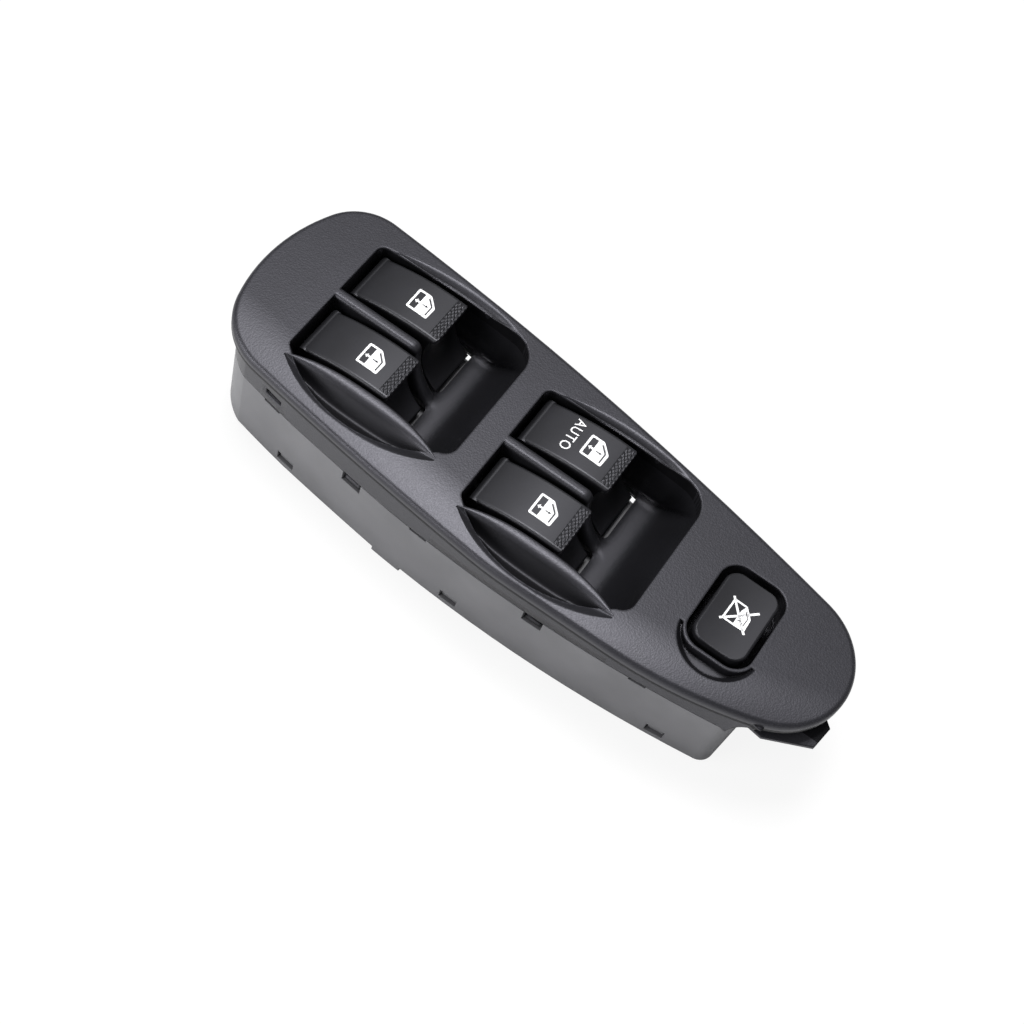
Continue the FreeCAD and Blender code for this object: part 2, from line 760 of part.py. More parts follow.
def connector_shroud():
    x = connector_x
    y = connector_y
    hx = connector_half_x
    hy = connector_half_y
    top = board_top - board_thick
    shroud = rounded_box(x - hx, x + hx, y - hy, y + hy, bottom_z + 0.2, top, 1.5)
    socket = rounded_box(x - hx + 1.4, x + hx - 1.4, y - hy + 1.4, y + hy - 1.4, bottom_z - 1, top - 1.6, 0.8)
    keys = [box(x - 6, x - 4, y + hy - 1.6, y + hy - 0.6, bottom_z - 1, top - 1.6),
            box(x + 4, x + 6, y + hy - 1.6, y + hy - 0.6, bottom_z - 1, top - 1.6)]
    ways = []
    for px, py in pin_places():
        half = pin_half + 0.02
        ways.append(box(px - half, px + half, py - half, py + half, top - 3, top + 1))
    return shroud.cut([socket] + keys + ways).removeSplitter()


def pin_places():
    return [(connector_x - 13.5 + 3.0 * i, connector_y + side * 2.6) for i in range(10) for side in (-1, 1)]


def connector_pins():
    top = board_top - board_thick
    pins = []
    for x, y in pin_places():
        pins.append(box(x - pin_half, x + pin_half, y - pin_half, y + pin_half, bottom_z + 2.2, top))
    return Part.makeCompound(pins)


def bottom_cover():
    plate = wall_prism(wall + 0.25, bottom_z, bottom_z + 1.5)
    rim = wall_shell(wall + 0.25, 1.2, bottom_z, bottom_z + 2.2)
    solids = [plate, rim]
    for centre, wide in wall_slots():
        for strip in (near_strip, far_strip):
            solids.append(strip(centre, wide - 1.0, wall + 1.45, -wall - 0.25, bottom_z, -33.8))
            solids.append(strip(centre, wide - 1.0, wall + 0.6, -1.0, -36.4, -34.4))
    x = connector_x
    y = connector_y
    opening = rounded_box(x - connector_half_x - 0.3, x + connector_half_x + 0.3,
                          y - connector_half_y - 0.3, y + connector_half_y + 0.3,
                          bottom_z - 1, bottom_z + 4, 1.8)
    return solids[0].fuse(solids[1:]).cut(opening).removeSplitter()


def lock_guide():
    half_x = 6.0
    half_y = 8.0
    post = box(lock_x - half_x, lock_x + half_x, lock_y - half_y, lock_y + half_y, deck_top - 0.5, -12.0)
    bore = box(lock_x - half_x + 1.5, lock_x + half_x - 1.5, lock_y - half_y + 1.5, lock_y + half_y - 1.5,
               deck_top - deck_thick - 1, -11.0)
    return (post, bore)


def lock_button():
    x0 = lock_x - lock_len / 2
    x1 = lock_x + lock_len / 2
    y0 = lock_y - lock_wide / 2
    y1 = lock_y + lock_wide / 2
    cap = rounded_box(x0, x1, y0, y1, -5.2, lock_top, lock_round)
    rim = [e for e in cap.Edges
           if abs(e.BoundBox.ZMin - lock_top) < 1e-6 and abs(e.BoundBox.ZMax - lock_top) < 1e-6]
    cap = cap.makeFillet(1.3, rim)
    dip_r = 60.0
    hollow = rounded_box(x0 + 1.8, x1 - 1.8, y0 + 1.8, y1 - 1.8, -6.2, lock_top - 2.2, lock_round - 1.8)
    dip = cross_rod(dip_r, lock_x, lock_top + dip_r - lock_dome, y0 - 1, y1 + 1)
    cap = cap.cut([hollow, dip])
    stem = box(lock_x - 4.2, lock_x + 4.2, lock_y - 6.2, lock_y + 6.2, -19.5, lock_top - 2.0)
    core = box(lock_x - 3.0, lock_x + 3.0, lock_y - 5.0, lock_y + 5.0, -20.5, lock_top - 3.6)
    return cap.fuse(stem).cut(core).removeSplitter()


def lock_spring():
    return moved(coil_sleeve(2.1, 0.3, -20.2, lock_top - 3.65), lock_x, lock_y)


def lock_switch():
    base = box(lock_x - 2.8, lock_x + 2.8, lock_y - 4.6, lock_y + 4.6, board_top, -24.0)
    post = rod(1.2, lock_x, lock_y, -24.1, -16.5)
    seat = rod(2.6, lock_x, lock_y, -24.1, -20.25)
    return joined([base, seat, post])


def save(name, shape):
    shape.exportStep("parts/" + name + ".step")
    print(name, round(shape.Volume), shape.isValid(), len(shape.Solids))


def main():
    os.makedirs("parts", exist_ok=True)
    save("bezel", bezel())
    save("switch_housing", switch_housing())
    save("bottom_cover", bottom_cover())
    save("circuit_board", circuit_board())
    save("switch_terminals", switch_terminals())
    save("connector_shroud", connector_shroud())
    save("connector_pins", connector_pins())
    save("board_screws", board_screws())
    save("lock_switch", lock_switch())
    save("lock_button", lock_button())
    save("lock_spring", lock_spring())
    names = ("rear_right", "rear_left", "front_right", "front_left")
    seats = []
    for dx, dy in well_shifts():
        for y in rocker_rows():
            seats.append((dx, y + dy))
    for name, (dx, y) in zip(names, seats):
        save("rocker_" + name, moved(rocker(), dx, y))
        save("plunger_" + name, moved(plunger(), pivot_x + dx, y))
        save("plunger_spring_" + name, moved(plunger_spring(), pivot_x + dx, y))
        save("tilt_contact_" + name, moved(tilt_contact(), pivot_x + dx, y))


main()
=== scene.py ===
import math

import bmesh
import bpy
import numpy as np
from mathutils import Matrix, Vector
from mathutils.geometry import tessellate_polygon


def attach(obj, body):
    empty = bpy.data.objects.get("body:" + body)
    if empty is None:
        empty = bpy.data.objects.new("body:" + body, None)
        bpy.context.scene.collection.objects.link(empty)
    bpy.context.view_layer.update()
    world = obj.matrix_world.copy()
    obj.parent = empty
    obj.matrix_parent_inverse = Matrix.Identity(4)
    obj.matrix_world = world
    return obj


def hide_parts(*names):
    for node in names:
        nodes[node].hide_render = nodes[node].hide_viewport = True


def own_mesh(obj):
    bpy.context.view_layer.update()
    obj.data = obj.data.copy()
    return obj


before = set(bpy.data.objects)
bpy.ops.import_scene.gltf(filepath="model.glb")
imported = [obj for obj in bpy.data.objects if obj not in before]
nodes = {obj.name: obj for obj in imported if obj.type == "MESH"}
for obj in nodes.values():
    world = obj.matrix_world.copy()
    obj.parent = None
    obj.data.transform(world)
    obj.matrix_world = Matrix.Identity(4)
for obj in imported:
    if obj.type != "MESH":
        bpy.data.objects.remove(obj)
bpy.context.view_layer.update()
mm = 0.001

# where things sit, in millimetres, as the solids have them
layout = {
    "wells": ((0.0, 0.0), (69.36, -9.46)),
    "rockerRows": (0.7, 27.1),
    "rockerNames": ("rear_right", "rear_left", "front_right", "front_left"),
    "rockerBack": -82.4,
    "rockerMid": -66.0,
    "rockerFront": -52.4,
    "rockerTop": (0.0, 3.4, 3.3),
    "pivotX": -68.0,
    "panelTurn": -7.77,
    "bezelTop": 3.8,
    "lockCentre": (69.2, -3.0),
    "lockTop": 5.8,
    "lockDome": 0.7,
    "lockDipRadius": 60.0,
    "floorLevel": -41.2,
}


def linear(value):
    return value / 12.92 if value <= 0.04045 else ((value + 0.055) / 1.055) ** 2.4


def hexColour(code):
    parts = [int(code[i:i + 2], 16) / 255.0 for i in (1, 3, 5)]
    return tuple(linear(p) for p in parts) + (1.0,)


def newMaterial(name):
    material = bpy.data.materials.new(name)
    material.use_nodes = True
    tree = material.node_tree
    tree.nodes.clear()
    return material, tree


def addNode(tree, kind, settings=None, inputs=None, links=None):
    # settings are attributes, inputs are socket values, links are {socket: (node, output)}
    node = tree.nodes.new(kind)
    for key, value in (settings or {}).items():
        setattr(node, key, value)
    for key, value in (inputs or {}).items():
        node.inputs[key].default_value = value
    for key, (source, output) in (links or {}).items():
        tree.links.new(source.outputs[output], node.inputs[key])
    return node


def maths(tree, operation, a, b=None):
    node = tree.nodes.new("ShaderNodeMath")
    node.operation = operation
    for slot, value in enumerate((a, b)):
        if value is None:
            continue
        if isinstance(value, (int, float)):
            node.inputs[slot].default_value = value
        else:
            tree.links.new(value[0].outputs[value[1]], node.inputs[slot])
    return (node, 0)


def finishMaterial(tree, shader):
    addNode(tree, "ShaderNodeOutputMaterial", links={"Surface": (shader, 0)})


def meshObject(name, points, faces, material, smooth=True):
    mesh = bpy.data.meshes.new(name)
    mesh.from_pydata([tuple(p) for p in points], [], [tuple(f) for f in faces])
    mesh.materials.append(material)
    mesh.polygons.foreach_set("use_smooth", [smooth] * len(mesh.polygons))
    mesh.update()
    thing = bpy.data.objects.new(name, mesh)
    bpy.context.scene.collection.objects.link(thing)
    return thing


def gridFaces(rows, cols):
    # quads of a rows x cols grid, facing up where rows run to +X and columns to +Y
    i, j = np.meshgrid(np.arange(rows - 1), np.arange(cols - 1), indexing="ij")
    a = (i * cols + j).ravel()
    return np.stack([a, a + cols, a + cols + 1, a + 1], axis=-1).tolist()


def insideBox(tree, axes, box):
    # 1 inside the box (middle x, middle y, half x, half y), in millimetres
    parts = []
    for axis, middle, half in ((0, box[0], box[2]), (1, box[1], box[3])):
        away = maths(tree, "ABSOLUTE", maths(tree, "SUBTRACT", (axes, axis), middle * mm))
        parts.append(maths(tree, "LESS_THAN", away, half * mm))
    return maths(tree, "MULTIPLY", parts[0], parts[1])


# the fall of the bezel's face towards its near edge
crown = {"edgeY": -36.6, "bow": 0.0026, "reach": 18.0, "curve": 0.0138}


def nearCrown(tree, axes):
    # the face falls gently away towards its near edge: height = -k (reach - d)^2 / 2, where d is the
    # distance from the near edge, itself edgeY + bow * x^2 along the panel
    turn = math.radians(layout["panelTurn"])
    along = maths(tree, "SUBTRACT", maths(tree, "MULTIPLY", (axes, 0), math.cos(turn)),
                  maths(tree, "MULTIPLY", (axes, 1), -math.sin(turn)))
    across = maths(tree, "ADD", maths(tree, "MULTIPLY", (axes, 0), -math.sin(turn)),
                   maths(tree, "MULTIPLY", (axes, 1), math.cos(turn)))
    ahead = maths(tree, "MAXIMUM", along, 0.0)
    bowed = maths(tree, "MULTIPLY", maths(tree, "MULTIPLY", ahead, ahead), crown["bow"] / mm)
    edge = maths(tree, "ADD", bowed, crown["edgeY"] * mm)
    inward = maths(tree, "SUBTRACT", maths(tree, "ADD", edge, crown["reach"] * mm), across)
    short = maths(tree, "MAXIMUM", inward, 0.0)
    drop = maths(tree, "MULTIPLY", maths(tree, "MULTIPLY", short, short), -crown["curve"] / mm / 2.0)
    return addNode(tree, "ShaderNodeBump", {}, {"Distance": 1.0, "Strength": 1.0}, {"Height": drop})


def mouldedPlastic(name, values, inner=None, boxes=(), below=0.0):
    # injection-moulded ABS from a spark-eroded mould: a fine pebble grain that breaks up the gloss,
    # tiny lighter specks where the grain tips catch light, faint cloudiness from the melt's flow;
    # inner is a second, smoother finish used below a height inside the boxes
    material, tree = newMaterial(name)
    place = addNode(tree, "ShaderNodeTexCoord")
    axes = addNode(tree, "ShaderNodeSeparateXYZ", links={"Vector": (place, "Object")})
    zone = None
    if inner:
        for box in boxes:
            part = insideBox(tree, axes, box)
            zone = part if zone is None else maths(tree, "MAXIMUM", zone, part)
        sunk = addNode(tree, "ShaderNodeMapRange", {},
                       {"From Min": below * mm, "From Max": (below - values["zoneMm"]) * mm},
                       {"Value": (axes, 2)})
        zone = maths(tree, "MULTIPLY", zone, (sunk, 0))
    # painted shade: the rim's upright side, outside the boxes, and the end tongue below it get a darker
    # colour and less gloss than the face
    side = None
    if inner:
        low = maths(tree, "LESS_THAN", (axes, 2), values["shadedSideTop"] * mm)
        high = maths(tree, "GREATER_THAN", (axes, 2), values["shadedSideFoot"] * mm)
        outside = maths(tree, "SUBTRACT", 1.0, zone)
        shadedUpright = maths(tree, "MULTIPLY", maths(tree, "MULTIPLY", low, high), outside)
        beneath = maths(tree, "SUBTRACT", 1.0, high)
        shadedTongue = maths(tree, "MULTIPLY", beneath, insideBox(tree, axes, shadedTongueBox))
        side = maths(tree, "MAXIMUM", shadedUpright, shadedTongue)

    def either(key):
        # a plain number, or a blend of the two finishes' numbers
        if not inner:
            return values[key]
        step = maths(tree, "MULTIPLY", zone, inner[key] - values[key])
        return maths(tree, "ADD", step, values[key])

    def tint(key):
        node = addNode(tree, "ShaderNodeMix", {"data_type": "RGBA"})
        node.inputs[6].default_value = hexColour(values[key])
        node.inputs[7].default_value = hexColour((inner or values)[key])
        if zone:
            tree.links.new(zone[0].outputs[zone[1]], node.inputs[0])
        return node

    def feed(node, key, value):
        if isinstance(value, (int, float)):
            node.inputs[key].default_value = value
        else:
            tree.links.new(value[0].outputs[value[1]], node.inputs[key])

    grain = addNode(tree, "ShaderNodeTexVoronoi", {"feature": "SMOOTH_F1"},
                    {"Scale": 1.0 / (values["grainMm"] * mm), "Smoothness": 0.6, "Randomness": 1.0},
                    {"Vector": (place, "Object")})
    fine = addNode(tree, "ShaderNodeTexNoise", {},
                   {"Scale": 1.0 / (values["fineMm"] * mm), "Detail": 3.0, "Roughness": 0.6},
                   {"Vector": (place, "Object")})
    cloud = addNode(tree, "ShaderNodeTexNoise", {},
                    {"Scale": 1.0 / (values["cloudMm"] * mm), "Detail": 2.0}, {"Vector": (place, "Object")})
    height = maths(tree, "ADD", maths(tree, "MULTIPLY", (grain, "Distance"), values["grainPart"]),
                   maths(tree, "MULTIPLY", (fine, 0), 1.0 - values["grainPart"]))
    bump = addNode(tree, "ShaderNodeBump", {}, {"Distance": values["bumpMm"] * mm})
    feed(bump, "Height", height)
    under = None
    if values["edgeMm"] > 0.0:
        under = addNode(tree, "ShaderNodeBevel", {"samples": 6}, {"Radius": values["edgeMm"] * mm})
        if inner:
            # the well's floor sweeps up into its walls, so its inner corners are far rounder than the rim
            deep = addNode(tree, "ShaderNodeMapRange", {},
                           {"From Min": values["sweepTop"] * mm, "From Max": values["sweepFoot"] * mm},
                           {"Value": (axes, 2)})
            swept = maths(tree, "MULTIPLY", maths(tree, "MULTIPLY", (deep, 0), zone),
                          (values["sweepMm"] - values["edgeMm"]) * mm)
            feed(under, "Radius", maths(tree, "ADD", swept, values["edgeMm"] * mm))
    if inner:
        crowned = nearCrown(tree, axes)
        if under:
            tree.links.new(under.outputs[0], crowned.inputs["Normal"])
        under = crowned
    if under:
        tree.links.new(under.outputs[0], bump.inputs["Normal"])
    feed(bump, "Strength", either("bump"))
    shade = addNode(tree, "ShaderNodeMapRange", {}, {"From Min": 0.3, "From Max": 0.7},
                    {"Value": (cloud, 0)})
    speck = addNode(tree, "ShaderNodeMapRange", {}, {"From Min": 0.55, "From Max": 0.78},
                    {"Value": (fine, 0)})
    base = addNode(tree, "ShaderNodeMix", {"data_type": "RGBA"}, {},
                   {"Factor": (shade, 0), 6: (tint("dark"), 2), 7: (tint("light"), 2)})
    tips = addNode(tree, "ShaderNodeMix", {"data_type": "RGBA"}, {}, {6: (base, 2), 7: (tint("tip"), 2)})
    colour = tips
    # painted shade: the darker side colour goes on the rim's upright side and the end tongue
    if side:
        colour = addNode(tree, "ShaderNodeMix", {"data_type": "RGBA"}, {},
                         {"Factor": (side[0], 0), 6: (tips, 2)})
        colour.inputs[7].default_value = hexColour(values["side"])
    feed(tips, 0, maths(tree, "MULTIPLY", (speck, 0), either("speck")))
    # noise keeps to the middle quarter of its range, so its swing about 0.5 is widened four times
    spread = maths(tree, "MULTIPLY", maths(tree, "SUBTRACT", (fine, 0), 0.5), values["roughSpread"] * 4.0)
    rough = maths(tree, "ADD", spread, either("rough"))
    shader = addNode(tree, "ShaderNodeBsdfPrincipled", {},
                     {"IOR": 1.5, "Specular Tint": hexColour(values["sheen"])},
                     {"Base Color": (colour, 2), "Normal": (bump, 0)})
    gloss = either("specular")
    # the painted shade on the rim's side and the tongue also takes gloss away
    if side:
        loss = maths(tree, "MULTIPLY", side, 1.0 - values["shadedSideGloss"])
        gloss = maths(tree, "MULTIPLY", gloss, maths(tree, "SUBTRACT", 1.0, loss))
    feed(shader, "Specular IOR Level", gloss)
    feed(shader, "Roughness", rough)
    finishMaterial(tree, shader)
    return material


# the bezel: spark-eroded texture, which spreads the box lights into a soft, faintly blue sheen; its side
# colour is painted shade for the rim's upright side and the end tongue
bezelFinish = {"dark": "#17171a", "light": "#1d1d21", "tip": "#47474d", "grainMm": 0.55, "fineMm": 0.3,
               "cloudMm": 24.0, "grainPart": 0.6, "bump": 0.5, "bumpMm": 0.08, "speck": 0.45,
               "rough": 0.42, "roughSpread": 0.06, "specular": 0.5, "edgeMm": 0.9,
               "shadedSideTop": 1.2, "shadedSideFoot": -0.5, "sweepTop": -1.0, "sweepFoot": -5.0,
               "sweepMm": 5.0, "zoneMm": 0.9, "shadedSideGloss": 0.25, "side": "#0e0e10", "sheen": "#f4f3ff"}
# the wells' inside: polished more than textured, so darker with a closer gloss
wellFinish = {"dark": "#131315", "light": "#17171a", "tip": "#26262a",
              "bump": 0.08, "speck": 0.1, "rough": 0.36, "specular": 0.5}
# the finger dishes: a darker colour and less gloss, painted shade for dish slopes turned away from the
# lights
dishPaintedShade = {"dark": "#09090a", "light": "#0c0c0e", "tip": "#1c1c1f",
              "bump": 0.15, "speck": 0.2, "rough": 0.42, "specular": 0.22}
# plan areas: middle x, middle y, half x, half y
shadedTongueBox = (112.0, 0.0, 14.0, 16.0)
wellBoxes = ((-55.6, 9.2, 31.5, 33.4), (13.76, -0.26, 31.5, 33.4), (69.2, -5.5, 12.5, 20.5))
# the knobs: fine satin texture, nearly black
rockerFinish = {"dark": "#131315", "light": "#18181b", "tip": "#2c2c31", "grainMm": 0.25, "fineMm": 0.16,
                "cloudMm": 9.0, "grainPart": 0.4, "bump": 0.18, "bumpMm": 0.03, "speck": 0.25,
                "rough": 0.42, "roughSpread": 0.04, "specular": 0.5, "edgeMm": 0.5,
                "sheen": "#f6f6ff"}
# the housing: plain glass-filled nylon, a lighter grey with a dull gloss
housingFinish = {"dark": "#5b5b5e", "light": "#656568", "tip": "#77777a", "grainMm": 0.4, "fineMm": 0.25,
                 "cloudMm": 18.0, "grainPart": 0.3, "bump": 0.15, "bumpMm": 0.03, "speck": 0.15,
                 "rough": 0.48, "roughSpread": 0.05, "specular": 0.4, "edgeMm": 0.4,
                 "sheen": "#ffffff"}
# natural acetal and nylon, cream and slightly waxy
paleFinish = {"dark": "#c9c5b8", "light": "#d6d2c6", "tip": "#e2dfd5", "grainMm": 0.4, "fineMm": 0.25,
              "cloudMm": 6.0, "grainPart": 0.3, "bump": 0.1, "bumpMm": 0.02, "speck": 0.1,
              "rough": 0.4, "roughSpread": 0.05, "specular": 0.5, "edgeMm": 0.0,
              "sheen": "#ffffff"}


def printInk(values):
    # pad-printed white ink: matt, thin enough at places to let the black show through as a faint mottle
    material, tree = newMaterial("padPrintedInk")
    place = addNode(tree, "ShaderNodeTexCoord")
    mottle = addNode(tree, "ShaderNodeTexNoise", {},
                     {"Scale": 1.0 / (values["mottleMm"] * mm), "Detail": 3.0},
                     {"Vector": (place, "Object")})
    thin = addNode(tree, "ShaderNodeMapRange", {}, {"From Min": 0.35, "From Max": 0.65},
                   {"Value": (mottle, 0)})
    base = addNode(tree, "ShaderNodeMix", {"data_type": "RGBA"}, {}, {"Factor": (thin, 0)})
    base.inputs[6].default_value = hexColour(values["thin"])
    base.inputs[7].default_value = hexColour(values["full"])
    shader = addNode(tree, "ShaderNodeBsdfPrincipled", {}, {"Roughness": 0.6}, {"Base Color": (base, 2)})
    finishMaterial(tree, shader)
    return material


# scratches run along X, eight times longer than wide; the gloss varies between least and most
wear = {"scratchMm": 1.111, "across": 8.0, "tarnishMm": 4.545, "least": -0.08, "most": 0.12}


def metal(name, values):
    # drawn or stamped metal: fine directional scratches vary the gloss, faint tarnish in patches
    material, tree = newMaterial(name)
    place = addNode(tree, "ShaderNodeTexCoord")
    stretch = addNode(tree, "ShaderNodeMapping", {}, {"Scale": (1.0, wear["across"], wear["across"])},
                      {"Vector": (place, "Object")})
    scratch = addNode(tree, "ShaderNodeTexNoise", {},
                      {"Scale": 1.0 / (wear["scratchMm"] * mm), "Detail": 4.0}, {"Vector": (stretch, 0)})
    rough = addNode(tree, "ShaderNodeMapRange", {},
                    {"To Min": values["rough"] + wear["least"], "To Max": values["rough"] + wear["most"]},
                    {"Value": (scratch, 0)})
    tarnish = addNode(tree, "ShaderNodeTexNoise", {}, {"Scale": 1.0 / (wear["tarnishMm"] * mm)},
                      {"Vector": (place, "Object")})
    base = addNode(tree, "ShaderNodeMix", {"data_type": "RGBA"}, {}, {"Factor": (tarnish, 0)})
    base.inputs[6].default_value = hexColour(values["dull"])
    base.inputs[7].default_value = hexColour(values["bright"])
    bump = addNode(tree, "ShaderNodeBump", {}, {"Strength": 0.1, "Distance": 0.02 * mm},
                   {"Height": (scratch, 0)})
    shader = addNode(tree, "ShaderNodeBsdfPrincipled", {}, {"Metallic": 1.0},
                     {"Base Color": (base, 2), "Roughness": (rough, 0), "Normal": (bump, 0)})
    finishMaterial(tree, shader)
    return material


def solderMask(values):
    # glass-epoxy board under green solder mask: raised copper tracks show as lighter lanes, glossy lacquer
    material, tree = newMaterial("solderMask")
    place = addNode(tree, "ShaderNodeTexCoord")
    lanes = addNode(tree, "ShaderNodeTexBrick", {},
                    {"Scale": 1.0 / (values["trackMm"] * mm), "Mortar Size": 0.08},
                    {"Vector": (place, "Object")})
    base = addNode(tree, "ShaderNodeMix", {"data_type": "RGBA"}, {}, {"Factor": (lanes, "Fac")})
    base.inputs[6].default_value = hexColour(values["mask"])
    base.inputs[7].default_value = hexColour(values["track"])
    bump = addNode(tree, "ShaderNodeBump", {}, {"Strength": 0.3, "Distance": 0.04 * mm},
                   {"Height": (lanes, "Fac")})
    shader = addNode(tree, "ShaderNodeBsdfPrincipled", {}, {"Roughness": 0.25},
                     {"Base Color": (base, 2), "Normal": (bump, 0)})
    finishMaterial(tree, shader)
    return material


satinBezel = mouldedPlastic("grainedAbs", bezelFinish, wellFinish, wellBoxes, layout["bezelTop"] - 0.25)
# the dish sheets: the bezel's face above, and inside the wells the darker painted shade of the dish finish
dishShadedPlastic = mouldedPlastic("grainedAbsDishShade", dict(bezelFinish, edgeMm=0.0), dishPaintedShade, wellBoxes,
                             layout["bezelTop"] - 0.25)
satinRocker = mouldedPlastic("satinKnobPlastic", rockerFinish)
satinLock = mouldedPlastic("satinButtonPlastic", dict(rockerFinish, specular=0.36))
satinHousing = mouldedPlastic("plainHousingPlastic", housingFinish)
paleNylon = mouldedPlastic("naturalNylon", paleFinish)
contactBrass = metal("stampedBrass", {"dull": "#a8823c", "bright": "#cfae62", "rough": 0.35})
springWire = metal("springWire", {"dull": "#8c8c8e", "bright": "#b4b4b6", "rough": 0.3})
zincScrew = metal("zincPlate", {"dull": "#9a9ca0", "bright": "#bcbec2", "rough": 0.32})
boardResin = solderMask({"mask": "#14532c", "track": "#1f6a3a", "trackMm": 3.2})
print("stage: materials")


def dress(node, material):
    thing = nodes[node]
    for slot in thing.material_slots:
        slot.material = material


dress("bezel", satinBezel)
dress("switch_housing", satinHousing)
dress("bottom_cover", satinHousing)
dress("lock_button", satinLock)
dress("lock_switch", satinHousing)
dress("circuit_board", boardResin)
dress("connector_shroud", paleNylon)
dress("connector_pins", contactBrass)
dress("switch_terminals", contactBrass)
dress("board_screws", zincScrew)
dress("lock_spring", springWire)
for name in layout["rockerNames"]:
    dress("rocker_" + name, satinRocker)
    dress("plunger_" + name, paleNylon)
    dress("plunger_spring_" + name, springWire)
    dress("tilt_contact_" + name, contactBrass)


# the camera stands where it was fitted to the photograph
camera = {
    "place": (64.65, -283.65, 467.93),
    "right": (0.8176, 0.5415, 0.1956),
    "ahead": (-0.1226, 0.4956, -0.8598),
    "focalPixels": 1850.0,
}
lens = bpy.data.cameras.new("camera")
lens.sensor_width = 36.0
lens.lens = camera["focalPixels"] / 1024.0 * lens.sensor_width
lens.clip_start = 0.01
lens.clip_end = 20.0
eye = bpy.data.objects.new("camera", lens)
bpy.context.scene.collection.objects.link(eye)
ahead = Vector(camera["ahead"]).normalized()
right = Vector(camera["right"])
right = (right - ahead * right.dot(ahead)).normalized()
up = right.cross(ahead)
turn = Matrix((right, up, -ahead)).transposed()
eye.matrix_world = Matrix.Translation(Vector(camera["place"]) * mm) @ turn.to_4x4()
bpy.context.scene.camera = eye

# a plain pale table, a soft sky and two soft boxes
studio = {
    "floorHalf": 3.0,
    "floorShade": 0.86,
    "floorGlow": 0.88,
    "skyLevel": 0.3,
    "boxes": (
        ("keyBox", (-0.2, 0.14, 1.13), (0.0, 0.0, 0.0), 0.4, 0.4, 15.0),
        ("frontBox", (-0.72, -0.87, 0.45), (0.0, 0.0, -0.02), 0.8, 0.5, 11.3),
    ),
}
white = (1.0, 1.0, 1.0, 1.0)
floorMaterial, tree = newMaterial("paleFloor")
path = addNode(tree, "ShaderNodeLightPath")
diffuse = addNode(tree, "ShaderNodeBsdfDiffuse", {}, {"Color": (studio["floorShade"],) * 3 + (1.0,)})
glow = addNode(tree, "ShaderNodeEmission", {}, {"Color": white, "Strength": 1.0})
seen = maths(tree, "MULTIPLY", (path, "Is Camera Ray"), studio["floorGlow"])
mix = addNode(tree, "ShaderNodeMixShader", {}, {}, {"Fac": seen, 1: (diffuse, 0), 2: (glow, 0)})
finishMaterial(tree, mix)
size = studio["floorHalf"]
z = layout["floorLevel"] * mm
floor = meshObject("floor", [(-size, -size, z), (size, -size, z), (size, size, z), (-size, size, z)],
                   [(0, 1, 2, 3)], floorMaterial, False)

world = bpy.data.worlds.new("world")
bpy.context.scene.world = world
world.use_nodes = True
sky = world.node_tree
sky.nodes.clear()
path = addNode(sky, "ShaderNodeLightPath")
soft = addNode(sky, "ShaderNodeBackground", {}, {"Color": white, "Strength": studio["skyLevel"]})
plain = addNode(sky, "ShaderNodeBackground", {}, {"Color": white, "Strength": 1.0})
mix = addNode(sky, "ShaderNodeMixShader", {}, {},
              {"Fac": (path, "Is Camera Ray"), 1: (soft, 0), 2: (plain, 0)})
addNode(sky, "ShaderNodeOutputWorld", links={"Surface": (mix, 0)})


def softbox(name, place, target, sizeX, sizeY, power):
    data = bpy.data.lights.new(name, "AREA")
    data.shape = "RECTANGLE"
    data.size = sizeX
    data.size_y = sizeY
    data.energy = power
    lamp = bpy.data.objects.new(name, data)
    bpy.context.scene.collection.objects.link(lamp)
    lamp.location = place
    look = Vector(target) - Vector(place)
    lamp.rotation_euler = look.to_track_quat("-Z", "Y").to_euler()
    return lamp


for box in studio["boxes"]:
    softbox(*box)
bpy.context.scene.view_settings.view_transform = "Standard"
print("stage: camera, floor and light")


def rockerTop(x):
    # the knob's crowned top is an arc through its three profile points
    x0, x1, x2 = layout["rockerBack"], layout["rockerMid"], layout["rockerFront"]
    z0, z1, z2 = layout["rockerTop"]
    slope0 = (z1 - z0) / (x1 - x0)
    slope1 = (z2 - z1) / (x2 - x1)
    # the centre lies on both chords' perpendicular bisectors
    centreX = ((z0 + z1) / 2 + (x0 + x1) / 2 / slope0 - (z1 + z2) / 2 - (x1 + x2) / 2 / slope1)
    centreX = centreX / (1 / slope0 - 1 / slope1)
    centreZ = (z0 + z1) / 2 - (centreX - (x0 + x1) / 2) / slope0
    radius = math.hypot(x0 - centreX, z0 - centreZ)
    return centreZ + np.sqrt(radius * radius - (x - centreX) ** 2)


def lockTop(x, y):
    # the lock-out button's top is dished by a cylinder that lies along Y
    away = x - layout["lockCentre"][0]
    return layout["lockTop"] - layout["lockDome"] + away * away / (2.0 * layout["lockDipRadius"])


def onRocker(points, centre, lift):
    # points are (x, y) from the sign's middle; they land on the crowned top
    dx, dy, rowY = centre
    out = []
    for x, y in points:
        localX = signs["middleX"] + x
        localY = signs["middleY"] + y
        out.append(((localX + dx) * mm, (rowY + localY + dy) * mm, (rockerTop(localX) + lift) * mm))
    return out


def onLock(points, lift):
    cx, cy = signs["lockMiddle"]
    return [((cx + x) * mm, (cy + y) * mm, (lockTop(cx + x, cy + y) + lift) * mm) for x, y in points]


def rounded(corners, radius, steps=4):
    # each corner becomes a quadratic bend: (1-t)^2 a + 2t(1-t) corner + t^2 b
    pts = [Vector(c) for c in corners]
    out = []
    for i, corner in enumerate(pts):
        before = (pts[i - 1] - corner).normalized() * radius
        after = (pts[(i + 1) % len(pts)] - corner).normalized() * radius
        for t in np.linspace(0.0, 1.0, steps + 1):
            start = (1 - t) ** 2 * (corner + before)
            out.append(tuple(start + 2 * t * (1 - t) * corner + t * t * (corner + after)))
    return out


